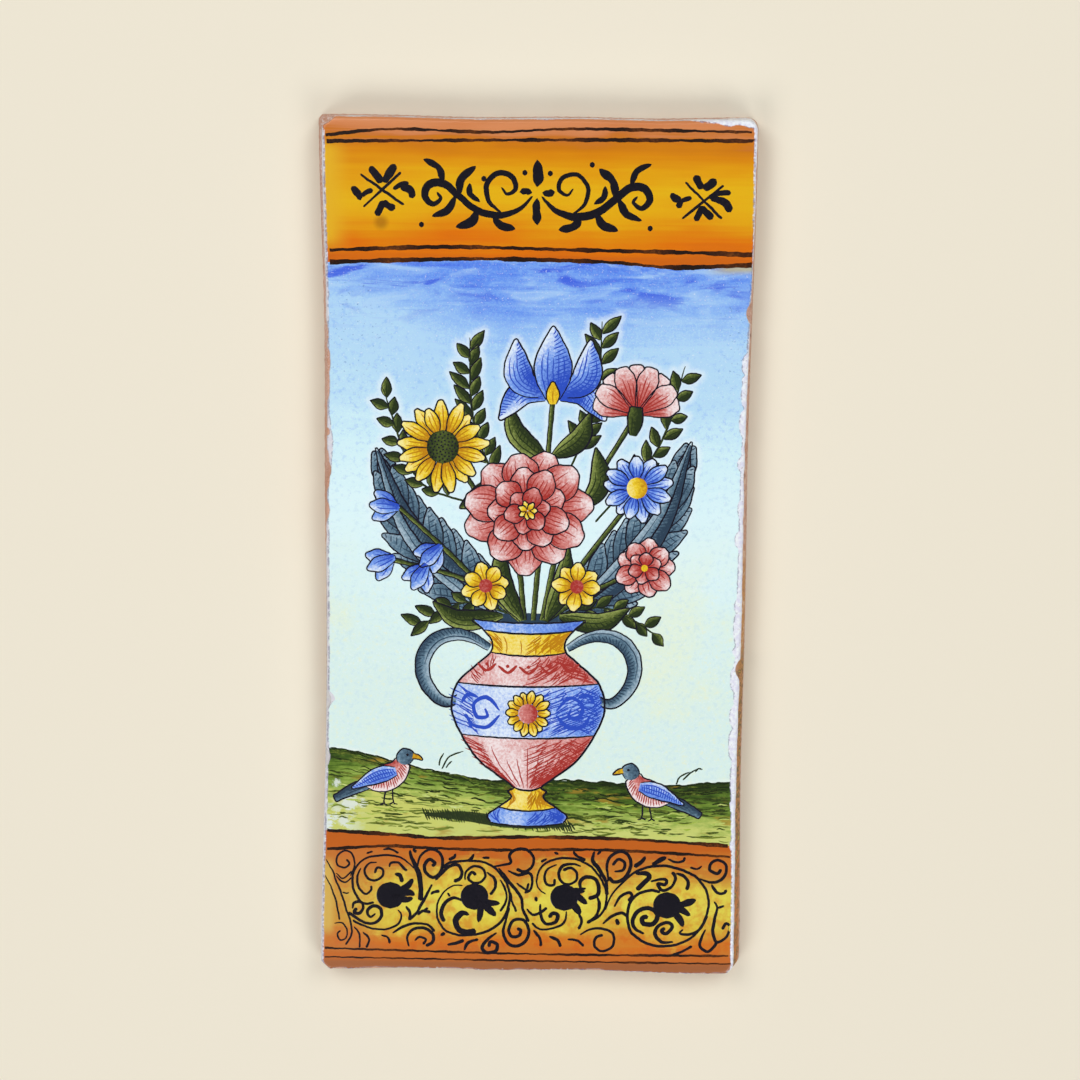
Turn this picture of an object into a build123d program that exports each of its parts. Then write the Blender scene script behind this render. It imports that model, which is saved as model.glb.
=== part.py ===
"""Hand-cut wall tile of terracotta with a tin glaze, lying on its back with the painted face up.

One fired piece. +X runs to the picture's right, +Y to its top, +Z out of the glazed face.
The origin is on the back, at the middle of the tile.
"""

import os

from build123d import *

# Overall size of the fired tile, measured over its back edges, in millimetres
tile_width = 200.0
tile_height = 400.0
tile_thickness = 16.0

# How far the front edge stands in from the back edge, where the knife leaned as it cut the clay
top_lean = 2.0
bottom_lean = 1.2
left_lean_at_top = 3.2
left_lean_at_bottom = 1.2
right_lean_at_top = 1.6
right_lean_at_bottom = 4.2

# Corners of the outline, rounded by hand
top_left_radius = 3.0
top_right_radius = 5.0
bottom_left_radius = 3.5
bottom_right_radius = 6.0

# How far each cut edge bows towards the middle of the tile
top_bow = 0.3
bottom_bow = 0.5
left_bow = 2.2
right_bow = 0.9

# How far the knife wandered in from that line
cut_wander = 0.6

# Softened edge round the glazed face, and the broken edge round the back
front_arris_radius = 1.6
back_arris_radius = 0.5

# Broken corners: the size of each scar along the two edges, and the radius of its hollow
top_left_chip_width = 6.0
top_left_chip_height = 4.2
bottom_left_chip_width = 4.4
bottom_left_chip_height = 4.0
corner_scar_radius = 14.0

# Bruises along the two long edges: the share of the edge at which each lies, its length and bite
left_bruises_from_top = (0.40, 0.675, 0.745)
right_bruises_from_bottom = (0.365, 0.79)
bruise_length = 9.0
bruise_bite = 2.1


def cut_edge(start, end, inward, bow):
    """One side as the knife left it: it bows inward and wanders about the line from start to end."""
    along = end - start
    direction = Vector(inward.Y, -inward.X)
    points = [start]
    for share, wander in ((0.22, 1), (0.41, 0), (0.63, 1), (0.82, 0)):
        depth = bow * 4 * share * (1 - share) + cut_wander * wander
        points.append(start + along * share + inward * depth)
    points.append(end)
    return Spline(*points, tangents=(direction, direction))


def cut_outline(left_top, left_bottom, right_top, right_bottom, top, bottom):
    """Closed outline of the slab, each side standing in from the overall size by its lean.

    Returns the bottom, right, top and left sides, in that order.
    """
    corners = (
        Vector(-tile_width / 2 + left_bottom, -tile_height / 2 + bottom),
        Vector(tile_width / 2 - right_bottom, -tile_height / 2 + bottom),
        Vector(tile_width / 2 - right_top, tile_height / 2 - top),
        Vector(-tile_width / 2 + left_top, tile_height / 2 - top),
    )
    radii = (bottom_left_radius, bottom_right_radius, top_right_radius, top_left_radius)
    inwards = (Vector(0, 1), Vector(-1, 0), Vector(0, -1), Vector(1, 0))
    bows = (bottom_bow, right_bow, top_bow, left_bow)
    sides = []
    for side in range(4):
        after = (side + 1) % 4
        inward = inwards[side]
        direction = Vector(inward.Y, -inward.X)
        start = corners[side] + direction * radii[side]
        end = corners[after] - direction * radii[after]
        sides.append(cut_edge(start, end, inward, bows[side]))
        TangentArc(end, corners[after] + inward * radii[after], tangent=direction)
    return sides


def scar_centre(corner, inward, width, height):
    """Centre of the ball whose hollow reaches width and height in from a corner of the face."""
    reach = (width**2 + height**2) ** 0.5 / 2
    stand_off = (corner_scar_radius**2 - reach**2) ** 0.5
    middle = corner + Vector(inward.X * width / 2, inward.Y * height / 2)
    outward = Vector(-inward.X * height, -inward.Y * width).normalized()
    return middle + outward * stand_off


bruise_radius = (bruise_length**2 / 4 + bruise_bite**2) / (2 * bruise_bite)

with BuildPart() as tile:
    with BuildSketch(Plane.XY):
        with BuildLine():
            cut_outline(0, 0, 0, 0, 0, 0)
        make_face()
    with BuildSketch(Plane.XY.offset(tile_thickness)):
        with BuildLine():
            _, right_side, _, left_side = cut_outline(
                left_lean_at_top,
                left_lean_at_bottom,
                right_lean_at_top,
                right_lean_at_bottom,
                top_lean,
                bottom_lean,
            )
        make_face()
    loft(ruled=True)
    fillet(tile.edges().group_by(Axis.Z)[-1], front_arris_radius)
    fillet(tile.edges().group_by(Axis.Z)[0], back_arris_radius)

    # Corner scars: hollows knocked out of the two left corners, deepest at the glazed face
    top_left = Vector(-tile_width / 2 + left_lean_at_top, tile_height / 2 - top_lean)
    bottom_left = Vector(-tile_width / 2 + left_lean_at_bottom, -tile_height / 2 + bottom_lean)
    scars = (
        scar_centre(top_left, Vector(1, -1), top_left_chip_width, top_left_chip_height),
        scar_centre(bottom_left, Vector(1, 1), bottom_left_chip_width, bottom_left_chip_height),
    )
    with Locations(*[(scar.X, scar.Y, tile_thickness) for scar in scars]):
        Sphere(corner_scar_radius, mode=Mode.SUBTRACT)

    # Bruises: small hollows knocked out of the softened edge along the two long sides
    stand_off = Vector(bruise_radius - bruise_bite, 0)
    knocks = [left_side @ share - stand_off for share in left_bruises_from_top]
    knocks += [right_side @ share + stand_off for share in right_bruises_from_bottom]
    with Locations(*[(knock.X, knock.Y, tile_thickness) for knock in knocks]):
        Sphere(bruise_radius, mode=Mode.SUBTRACT)

tile.part.label = "tile"

os.makedirs("parts", exist_ok=True)
export_step(tile.part, "parts/tile.step")
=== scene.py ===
import math
import random

import bpy
import numpy as np
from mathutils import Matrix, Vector
from mathutils.bvhtree import BVHTree
from mathutils.kdtree import KDTree


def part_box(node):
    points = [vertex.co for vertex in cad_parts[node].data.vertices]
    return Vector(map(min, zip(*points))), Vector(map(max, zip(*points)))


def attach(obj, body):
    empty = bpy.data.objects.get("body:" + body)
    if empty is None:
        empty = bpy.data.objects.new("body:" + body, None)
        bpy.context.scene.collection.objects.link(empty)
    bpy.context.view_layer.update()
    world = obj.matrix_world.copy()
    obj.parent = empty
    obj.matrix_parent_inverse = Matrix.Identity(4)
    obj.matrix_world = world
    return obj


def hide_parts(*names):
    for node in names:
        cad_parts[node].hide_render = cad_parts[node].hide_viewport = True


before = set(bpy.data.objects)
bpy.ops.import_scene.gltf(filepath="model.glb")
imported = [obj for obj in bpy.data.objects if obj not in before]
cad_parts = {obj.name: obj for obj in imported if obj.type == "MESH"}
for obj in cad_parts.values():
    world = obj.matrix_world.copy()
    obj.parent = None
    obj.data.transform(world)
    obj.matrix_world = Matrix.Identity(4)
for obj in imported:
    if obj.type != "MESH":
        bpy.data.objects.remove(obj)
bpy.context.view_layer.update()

# Fired slab
# A hand-cut slab of terracotta, dipped in white tin glaze and painted on it before its second firing.
# The glaze lies a little unevenly, and along the edges it has flaked off and shows the clay.
# Sizes here are in millimetres, MM of them to a metre of the frame.
MM = 1000
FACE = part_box("tile")[1].z * MM
LEFT, BOTTOM = (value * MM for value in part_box("tile")[0][:2])
RIGHT, TOP = (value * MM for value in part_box("tile")[1][:2])


def smooth_path(points, step=0.7):
    """A curve through the points, as places about a step apart, in millimetres."""
    knots = np.asarray(points, float)
    if len(knots) < 3:
        count = max(2, int(np.linalg.norm(knots[1] - knots[0]) / step) + 1)
        share = np.linspace(0, 1, count)[:, None]
        return knots[0] * (1 - share) + knots[1] * share
    padded = np.vstack([2 * knots[0] - knots[1], knots, 2 * knots[-1] - knots[-2]])
    pieces = []
    for a, b, c, d in zip(padded, padded[1:], padded[2:], padded[3:]):
        count = max(2, int(np.linalg.norm(c - b) / step) + 1)
        t = np.linspace(0, 1, count, endpoint=False)[:, None]
        bend = (2 * a - 5 * b + 4 * c - d) * t**2 + (3 * b - a - 3 * c + d) * t**3
        pieces.append(b + 0.5 * ((c - a) * t + bend))
    pieces.append(knots[-1:])
    return np.vstack(pieces)


def places(text):
    """Points written as x,y pairs with spaces between, in millimetres."""
    return [tuple(float(value) for value in pair.split(",")) for pair in text.split()]


def height_on(line, x):
    """How high a drawn line runs at x."""
    path = smooth_path(line, 2.0)
    return np.interp(x, path[:, 0], path[:, 1])


# Where the painter ruled the picture off from the two ornament bands, and the skyline of the field in it
top_band_foot = places("-99,133.2 -92.9,133.2 -18.3,135.3 31.3,134.4 61.6,132.6 99,133.6")
skyline = places(
    "-99,-91.0 -83.4,-92.6 -57.8,-99.1 -28.8,-104.9 -15.7,-106.2 18.4,-105.7 60.3,-107.6 99,-104.6"
)
field_foot = places("-99,-130.6 -61,-132.7 -41.8,-133.7 0.9,-132.9 43,-133.4 99,-136.3")


def glaze_rise(x, y):
    """How far the uneven glaze stands above the flat face at a place, in millimetres."""
    wide = 0.05 * np.sin(0.11 * x + 0.05 * y + 0.4)
    mid = 0.04 * np.sin(0.13 * y - 0.06 * x + 1.9)
    return wide + mid + 0.025 * np.sin(0.19 * x - 0.17 * y + 4.0)


def flaked_edge(along, lowest, highest, count, deepest, seed):
    """How far in from an edge the glaze has flaked at each place along it: a run of scalloped scars."""
    chance = random.Random(seed)
    depth = np.zeros_like(along)
    for _ in range(count):
        middle = chance.uniform(lowest, highest)
        half = chance.uniform(1.5, 8.0)
        bite = chance.uniform(0.25, 1.0) * deepest
        share = np.clip(1 - ((along - middle) / half) ** 2, 0, 1)
        depth = np.maximum(depth, bite * np.sqrt(share))
    return depth


# Rings of points round the slab, found on the CAD solid by rays that come in from outside it:
# up its sides, over the softened edge and in across the face
clay_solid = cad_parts["tile"].data
solid = BVHTree.FromPolygons(
    [corner.co * MM for corner in clay_solid.vertices],
    [face.vertices for face in clay_solid.polygons],
)
ROWS, COLUMNS = 280, 140
CORE_INSET = 16
RAY_START, RAY_HEIGHT = 36, 40
SIDE_LEVELS = (0.02, 0.2, 0.5, 2, 4, 6, 8, 9.5, 11, 12, 13, 13.7, 14.3, 14.8, 15.2, 15.55, 15.8, 15.95)
FACE_INSETS = (0.35, 0.8, 1.3, 1.9, 2.6, 3.4, 4.4, 5.6)
walk = []
for count, first, last in (
    (COLUMNS, (LEFT, BOTTOM), (RIGHT, BOTTOM)),
    (ROWS, (RIGHT, BOTTOM), (RIGHT, TOP)),
    (COLUMNS, (RIGHT, TOP), (LEFT, TOP)),
    (ROWS, (LEFT, TOP), (LEFT, BOTTOM)),
):
    share = np.arange(count)[:, None] / count
    walk.append(np.array(first) * (1 - share) + np.array(last) * share)
walk = np.vstack(walk)
core_low = (LEFT + CORE_INSET, BOTTOM + CORE_INSET)
core_high = (RIGHT - CORE_INSET, TOP - CORE_INSET)
core = np.clip(walk, core_low, core_high)
outward = (walk - core) / np.linalg.norm(walk - core, axis=1)[:, None]
rings = []
depths = []
for level in SIDE_LEVELS:
    ring = []
    for spot, way in zip(core, outward):
        begin = Vector((*(spot + way * RAY_START), level))
        ring.append(solid.ray_cast(begin, Vector((*-way, 0)))[0])
    rings.append(np.array(ring))
    depths.append(np.full(len(ring), level - FACE))
brow = rings[-1][:, :2]
calm = np.mean([np.roll(brow, shift, axis=0) for shift in range(-9, 10)], axis=0)
rings[0][:, 2] = 0
for inset in FACE_INSETS:
    spots = brow + (calm - brow) * inset / FACE_INSETS[-1] - outward * inset
    ring = [solid.ray_cast(Vector((*spot, RAY_HEIGHT)), Vector((0, 0, -1)))[0] for spot in spots]
    rings.append(np.array(ring))
    depths.append(np.full(len(ring), inset))

# The middle of the face is a grid between the four sides of the innermost ring
inner = rings[-1]
low_side = inner[: COLUMNS + 1]
east_side = inner[COLUMNS : COLUMNS + ROWS + 1]
high_side = inner[COLUMNS + ROWS : 2 * COLUMNS + ROWS + 1][::-1]
west_side = np.vstack([inner[2 * COLUMNS + ROWS :], inner[:1]])[::-1]
u, v = (
    np.concatenate([[0], np.cumsum(np.linalg.norm(np.diff(one + other, axis=0), axis=1))])
    for one, other in ((low_side, high_side), (west_side, east_side))
)
u = (u / u[-1])[None, :, None]
v = (v / v[-1])[:, None, None]
grid = (1 - v) * low_side[None] + v * high_side[None]
grid = grid + (1 - u) * west_side[:, None] + u * east_side[:, None]
grid -= (1 - u) * (1 - v) * low_side[0] + u * (1 - v) * low_side[-1]
grid -= (1 - u) * v * high_side[0] + u * v * high_side[-1]

around = len(walk)
spots = np.vstack(rings + [grid[1:-1, 1:-1].reshape(-1, 3)])
number = np.full((ROWS + 1, COLUMNS + 1), -1)
number[1:-1, 1:-1] = np.arange(len(rings) * around, len(spots)).reshape(ROWS - 1, COLUMNS - 1)
base = (len(rings) - 1) * around
number[0] = base + np.arange(COLUMNS + 1)
number[:, -1] = base + COLUMNS + np.arange(ROWS + 1)
number[-1] = (base + COLUMNS + ROWS + np.arange(COLUMNS + 1))[::-1]
number[:, 0] = (base + (2 * COLUMNS + ROWS + np.arange(ROWS + 1)) % around)[::-1]
faces = []
for ring in range(len(rings) - 1):
    here = ring * around + np.arange(around)
    there = ring * around + (np.arange(around) + 1) % around
    faces += np.stack([here, there, there + around, here + around], 1).tolist()
quads = np.stack([number[:-1, :-1], number[:-1, 1:], number[1:, 1:], number[1:, :-1]], -1)
faces += quads.reshape(-1, 4).tolist()
faces.append(list(range(around))[::-1])

x, y, z = spots.T
nearness = np.stack([x - LEFT, RIGHT - x, TOP - y, y - BOTTOM])
unrolled = np.concatenate(depths + [nearness[:, len(rings) * around :].min(0)])

# How far in the glaze stops, and how far in the painting stops, along each of the four edges
west = np.interp(y, [-195, -5, 8, 20, 80, 130, 195], [-14.0, -14.0, -4.0, -0.6, -0.5, -1.8, -2.4])
west = west + flaked_edge(y, 0, 195, 26, 1.4, 11) * np.interp(y, [-5, 15], [0, 1])
west = west + flaked_edge(y, -195, 12, 44, 6.5, 18) * np.interp(y, [-2, 14], [1, 0])
east = flaked_edge(y, -195, 190, 40, 1.2, 12)
east = east + np.interp(y, [-190, -20, 60, 150], [-2.4, -2.0, -1.3, -1.9])
north = flaked_edge(x, -95, 90, 34, 5.0, 13)
north = north + np.interp(x, [-92, -84, 0, 70, 95], [-1.0, -7.0, -9.0, -10.0, -14.0])
south = flaked_edge(x, -95, 90, 30, 1.4, 14) - 1.2
weight = np.exp(-(nearness - nearness.min(0)) / 1.5)
weight /= weight.sum(0)
glaze_reach = unrolled - (weight * np.stack([west, east, north, south])).sum(0)
east_white = np.interp(y, [-150, -110, -40, 30, 80, 130, 190], [0.4, 1.2, 1.4, 0.8, 0.1, -0.6, 0.2])
east_white = east_white + flaked_edge(y, -140, 90, 17, 1.9, 15)
west_white = flaked_edge(y, -120, 130, 30, 1.1, 16) - 0.7
west_white = np.maximum(west_white, flaked_edge(y, 46, 66, 4, 3.4, 3))
west_white = np.maximum(west_white, flaked_edge(y, -70, -58, 2, 3.6, 4))
north_white = flaked_edge(x, -95, 95, 26, 1.6, 17)
north_white = north_white + np.interp(x, [-95, 60, 80, 95], [-2.4, -2.0, -0.6, 1.2])
paint_stop = (weight * np.stack([west_white, east_white, north_white, np.full_like(x, -0.4)])).sum(0)
paint_reach = unrolled - paint_stop

slab_mesh = bpy.data.meshes.new("painted_slab")
slab_mesh.from_pydata(spots / MM, [], faces)
slab_mesh.update()

# The clay lies a third of a millimetre below the glaze where that has gone, and it is rough under the knife
turned = np.zeros(len(spots) * 3)
slab_mesh.vertices.foreach_get("normal", turned)
scar = np.clip((0.35 - glaze_reach) / 0.8, 0, 1) * np.clip((z - 9.0) / 4.0, 0, 1)
rough = 0.10 * np.sin(1.3 * x + 0.4 * z) * np.sin(0.9 * y + 1.1 * z)
rough = rough + 0.07 * np.sin(2.6 * x + 2.1 * y + 1.7 * z)
sunk = np.where(z > 0.3, rough * np.clip(-unrolled / 3.0, 0, 1) - 0.32 * scar, 0)
shaped = spots + turned.reshape(-1, 3) * sunk[:, None]
shaped[:, 2] += glaze_rise(x, y) * np.clip((z - 12.0) / 3.0, 0, 1)
slab_mesh.vertices.foreach_set("co", (shaped / MM).astype(np.float32).ravel())
painted_slab = bpy.data.objects.new("painted_slab", slab_mesh)
bpy.context.scene.collection.objects.link(painted_slab)

# A flat map of the slab for baking: the face large, the back and the four sides smaller beside it.
# The spans are the millimetres that would fill the map from edge to edge
FACE_SPAN, SIDE_SPAN = 404, 1000
bake_map = slab_mesh.uv_layers.new(name="OFBake")
for face in slab_mesh.polygons:
    normal = face.normal
    for loop in face.loop_indices:
        a, b, c = slab_mesh.vertices[slab_mesh.loops[loop].vertex_index].co * MM
        if normal.z > 0.5:
            spot = (0.255 + a / FACE_SPAN, 0.5 + b / FACE_SPAN)
        elif normal.z < -0.5:
            spot = (0.65 + a / SIDE_SPAN, 0.25 + b / SIDE_SPAN)
        else:
            long_side = abs(normal.x) > abs(normal.y)
            lane = int(normal.x >= 0) if long_side else 2 + int(normal.y >= 0)
            run = b if long_side else a
            spot = (0.76 + run / SIDE_SPAN, 0.56 + lane * 0.05 + c / SIDE_SPAN)
        bake_map.data[loop].uv = spot
slab_mesh.polygons.foreach_set("use_smooth", np.ones(len(slab_mesh.polygons), bool))

# What the material reads at each point: its height over the three lines of the painting, and its distance
# from the end of the glaze, from the end of the paint and, up to FAR, from the painted picture
FAR = 40.0
zones = np.stack([y - height_on(line, x) for line in (top_band_foot, skyline, field_foot)], 1)
edges = np.stack([glaze_reach, paint_reach, np.full_like(x, FAR)], 1)
for name, values in (("zones", zones), ("edges", edges)):
    attribute = slab_mesh.attributes.new(name, "FLOAT_VECTOR", "POINT")
    attribute.data.foreach_set("vector", values.astype(np.float32).ravel())


class Wire:
    """An output of a material's nodes, so that node maths reads as plain expressions."""

    def __init__(self, tree, socket=None):
        self.tree = tree
        self.socket = socket

    def node(self, kind, settings=None, values=None, output=0):
        """Adds a node, sets its settings and then its sockets, and gives one of its outputs."""
        made = self.tree.nodes.new(kind)
        for name, value in (settings or {}).items():
            if name == "stops":
                elements = made.color_ramp.elements
                elements[0].position, elements[1].position = value[0][0], value[-1][0]
                for stop in value[1:-1]:
                    elements.new(stop[0])
                for element, stop in zip(elements, value):
                    element.color = stop[1]
            else:
                setattr(made, name, value)
        for key, value in (values or {}).items():
            if isinstance(value, Wire):
                self.tree.links.new(value.socket, made.inputs[key])
            else:
                made.inputs[key].default_value = value
        return Wire(self.tree, made.outputs[output])

    def math(self, operation, first, *others):
        return self.node("ShaderNodeMath", {"operation": operation}, dict(enumerate((first, *others))))

    def __add__(self, other):
        return self.math("ADD", self, other)

    def __sub__(self, other):
        return self.math("SUBTRACT", self, other)

    def __rsub__(self, other):
        return self.math("SUBTRACT", other, self)

    def __mul__(self, other):
        return self.math("MULTIPLY", self, other)

    def __truediv__(self, other):
        return self.math("DIVIDE", self, other)

    __radd__ = __add__
    __rmul__ = __mul__

    def rise(self, low, high):
        """0 up to low and 1 from high on, with a soft step between."""
        values = {"Value": self, "From Min": low, "From Max": high}
        return self.node("ShaderNodeMapRange", {"interpolation_type": "SMOOTHSTEP"}, values)

    def mix(self, under, over):
        """One colour over another, as much as this value says."""
        return self.node("ShaderNodeMix", {"data_type": "RGBA"}, {0: self, 6: under, 7: over}, 2)

    def stretched(self, across, up, deep=1.0):
        """A place with its three directions scaled, for streaks and grain."""
        values = {0: self, 1: (across, up, deep)}
        return self.node("ShaderNodeVectorMath", {"operation": "MULTIPLY"}, values)

    def grain(self, scale, detail=3.0, roughness=0.55, warp=0.0):
        """Cloudy noise at a place, from 0 to 1."""
        values = {"Scale": scale, "Detail": detail, "Roughness": roughness, "Distortion": warp}
        return self.node("ShaderNodeTexNoise", {}, {"Vector": self, **values})

    def along(self, *stops):
        """A colour from a row of (value, colour) stops."""
        low, high = stops[0][0], stops[-1][0]
        share = (self - low) / (high - low)
        row = [((value - low) / (high - low), colour) for value, colour in stops]
        return share.node("ShaderNodeValToRGB", {"stops": row}, {"Fac": share})

    def parts(self):
        """The three numbers of a place."""
        return [self.node("ShaderNodeSeparateXYZ", {}, {0: self}, name) for name in "XYZ"]

    def away_from(self, spot):
        """How far a place is from a spot on the face."""
        values = {0: self, 1: (*spot, FACE)}
        return self.node("ShaderNodeVectorMath", {"operation": "DISTANCE"}, values, "Value")

    def stored(self, name, output="Vector"):
        """What the mesh stores at each point under a name."""
        return self.node("ShaderNodeAttribute", {"attribute_name": name}, output=output)

    def on_piece(self):
        """The place on the piece, in millimetres."""
        return self.node("ShaderNodeTexCoord", output="Object").stretched(MM, MM, MM)

    def into(self, socket):
        """Links this output to a socket of the shader."""
        self.tree.links.new(self.socket, socket)


def tint(red, green, blue):
    """A colour as the eye reads it, from 0 to 255, as the light that the renderer counts in."""
    levels = [value / 255 for value in (red, green, blue)]
    return tuple(v / 12.92 if v < 0.04045 else ((v + 0.055) / 1.055) ** 2.4 for v in levels) + (1.0,)


def fired_material(name):
    """A new material with a plain shader, and the start of its nodes."""
    material = bpy.data.materials.new(name)
    material.use_nodes = True
    shader = material.node_tree.nodes["Principled BSDF"]
    shader.inputs["IOR"].default_value = 1.5
    return material, shader, Wire(material.node_tree)


slab_material, shader, start = fired_material("painted_tin_glaze")
place = start.on_piece()
px, py, pz = place.parts()
top_band, sky, field = start.stored("zones").parts()
glazed, painted, halo = start.stored("edges").parts()

# Bare clay: pink to orange terracotta with pale and dark grit, dirtier low on the sides
grit = place.grain(1.6, 4, 0.65)
cloud = place.grain(0.06, 3)
clay = cloud.rise(0.35, 0.65).mix(tint(205, 150, 124), tint(216, 170, 150))
clay = grit.rise(0.52, 0.75).mix(clay, tint(232, 200, 182))
clay = grit.rise(0.42, 0.28).mix(clay, tint(158, 106, 80))
flank = px.rise(93.0, 96.5) * pz.rise(15.2, 14.2)
splash = place.stretched(1, 0.6, 0.2).grain(0.55, 5, 0.7, 0.4)
runs = flank * (pz + (splash - 0.5) * 16).rise(1.5, 5.0)
clay = (runs * py.rise(10, -10)).mix(clay, tint(206, 148, 88))
clay = (runs * splash.rise(0.52, 0.62) * 0.7).mix(clay, tint(236, 214, 190))
clay = (runs * splash.rise(0.44, 0.34) * 0.7).mix(clay, tint(112, 84, 74))
clay = (runs * py.rise(-36, -56) * splash.rise(0.45, 0.57) * 0.85).mix(clay, tint(66, 56, 42))
clay = (runs * py.rise(-36, -56) * splash.rise(0.58, 0.64)).mix(clay, tint(206, 176, 76))
clay = (runs * py.rise(-130, -140) * splash.rise(0.62, 0.40)).mix(clay, tint(206, 128, 66))
spatter = place.stretched(1, 1, 0.5).grain(0.9, 4, 0.75)
rim = py.math("MAXIMUM", py.rise(188, 195), px.rise(-92, -96) * py.rise(20, 150))
rim = rim * (pz + (spatter - 0.5) * 14).rise(3, 9)
clay = (rim * spatter.rise(0.50, 0.60) * 0.75).mix(clay, tint(240, 232, 234))
clay = (rim * spatter.rise(0.42, 0.34) * 0.6).mix(clay, tint(118, 84, 74))

# White tin glaze, a little blue and cloudy
white = place.grain(0.5, 3).rise(0.35, 0.65).mix(tint(226, 226, 242), tint(244, 248, 252))
white = place.grain(0.9, 4, 0.7).rise(0.58, 0.72).mix(white, tint(190, 176, 188))
white = (px.rise(-88, -92) * 0.5).mix(white, tint(206, 200, 202))

# Upper band: brushed from orange to yellow and back, in level strokes
brushed = place.stretched(0.010, 0.35).grain(1.0, 5, 0.62, 0.3)
broad = place.stretched(0.018, 0.06).grain(1.0, 2, 0.5)
across = py + (broad - 0.5) * 22 + (brushed - 0.5) * 16
upper = across.along(
    (133, tint(208, 102, 14)),
    (141, tint(226, 116, 0)),
    (147, tint(226, 136, 2)),
    (155, tint(230, 166, 10)),
    (165, tint(232, 180, 14)),
    (173, tint(228, 158, 4)),
    (181, tint(220, 136, 0)),
    (188, tint(208, 122, 8)),
    (191, tint(202, 116, 40)),
    (193.5, tint(212, 130, 76)),
    (199, tint(218, 140, 90)),
)
smudge = place.away_from((-70.2, 151.3))
upper = (smudge.rise(4.5, 1.0) * 0.6).mix(upper, tint(150, 92, 10))
upper = (px.rise(-82, -96) * py.rise(136, 146) * py.rise(190, 182)).mix(upper, tint(230, 178, 34))

# Sky: cobalt brushed on wet at the top, thinning to a pale wash with a grain like eggshell
wet = place.stretched(0.012, 0.16).grain(1.0, 5, 0.6, 0.6)
patch = place.stretched(0.02, 0.025).grain(1.0, 3)
speck = place.grain(0.75, 4, 0.75)
streak = 36 * (wet - 0.5) + 40 * (patch - 0.5) + 62 * (speck - 0.5)
level = top_band + streak - 20 * px.rise(-30, -92) - 8 * px.rise(55, 92)
wash = level.along(
    (-205, tint(222, 244, 238)),
    (-165, tint(224, 248, 246)),
    (-132, tint(226, 251, 254)),
    (-100, tint(214, 245, 252)),
    (-66, tint(186, 224, 249)),
    (-42, tint(180, 219, 250)),
    (-24, tint(146, 190, 248)),
    (-8, tint(104, 152, 244)),
    (6, tint(72, 116, 236)),
)
warm = place.grain(0.022, 3)
wash = (warm.rise(0.50, 0.68) * top_band.rise(-110, -165) * 0.55).mix(wash, tint(236, 246, 214))
egg = place.grain(0.42, 4, 0.72)
wash = (egg.rise(0.48, 0.34) * top_band.rise(-130, -60) * 0.45).mix(wash, tint(140, 186, 246))
wash = (egg.rise(0.50, 0.34) * top_band.rise(-60, -130) * 0.32).mix(wash, tint(196, 226, 240))
wash = (egg.rise(0.55, 0.68) * top_band.rise(-120, -180) * 0.45).mix(wash, tint(240, 244, 206))
drawn = place.stretched(0.03, 0.5).grain(1.0, 4, 0.65, 0.5)
wash = (drawn.rise(0.47, 0.36) * top_band.rise(-40, -8) * 0.3).mix(wash, tint(64, 106, 230))
pool = place.stretched(0.034, 0.15).grain(1.0, 3, 0.62, 0.7)
wash = (pool.rise(0.50, 0.70) * top_band.rise(-70, -12) * 0.7).mix(wash, tint(178, 214, 250))
wash = (pool.rise(0.50, 0.32) * top_band.rise(-34, -5) * 0.9).mix(wash, tint(56, 90, 228))
wash = (sky.rise(2.2, 0.2) * 0.6).mix(wash, tint(240, 250, 246))
wash = (speck.rise(0.56, 0.68) * 0.55).mix(wash, tint(240, 251, 255))
shore = px.math("MAXIMUM", px.rise(-56, -80), px.rise(78, 88)) * top_band.rise(-80, -30)
wash = (shore * place.grain(0.8, 2).rise(0.36, 0.26) * 0.7).mix(wash, tint(84, 122, 196))
wash = (px.rise(74, 88) * top_band.rise(-5.0, -1.5) * 0.7).mix(wash, tint(206, 190, 96))
margin = (halo + (speck - 0.5) * 3).rise(3.8, 0.4) * top_band.rise(-150, -90)
wash = (margin * 0.62).mix(wash, tint(238, 249, 255))

# Field: greens dragged along the slope, darker under the skyline, ochre and pale towards its foot
drag = place.stretched(0.05, 0.42).grain(1.0, 4, 0.62, 0.8)
tuft = place.stretched(0.14, 0.3).grain(1.0, 4, 0.7)
depth = field / (field - sky)
lit = 0.62 * (0.66 - depth) + 0.16 * px.rise(10, -40) * px.rise(-96, -70) - 0.06 * px.rise(0, 40)
green = (drag * 0.62 + tuft * 0.38 + lit).along(
    (0.28, tint(44, 64, 18)),
    (0.40, tint(76, 104, 32)),
    (0.52, tint(118, 146, 54)),
    (0.64, tint(158, 180, 84)),
    (0.78, tint(204, 208, 108)),
)
green = (sky.rise(-6, -0.5) * tuft.rise(0.62, 0.42) * 0.7).mix(green, tint(36, 54, 20))
green = (field.rise(13, 2) * tuft.rise(0.30, 0.58) * 0.8).mix(green, tint(204, 212, 122))
green = (place.stretched(0.04, 0.14).grain(1.0, 3).rise(0.57, 0.66) * 0.7).mix(green, tint(172, 134, 46))
green = (px.rise(-74, -94) * field.rise(20, 4) * tuft.rise(0.46, 0.56)).mix(green, tint(226, 236, 232))
for spot, size in (((-85, -117), 4.5), ((-79, -117.5), 2.6), ((-88, -126), 3.2), ((-91, -108), 2.4)):
    bare = (place.away_from(spot) + (speck - 0.5) * 7).rise(size, size - 1.6)
    green = (bare * 0.85).mix(green, tint(226, 234, 226))

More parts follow.
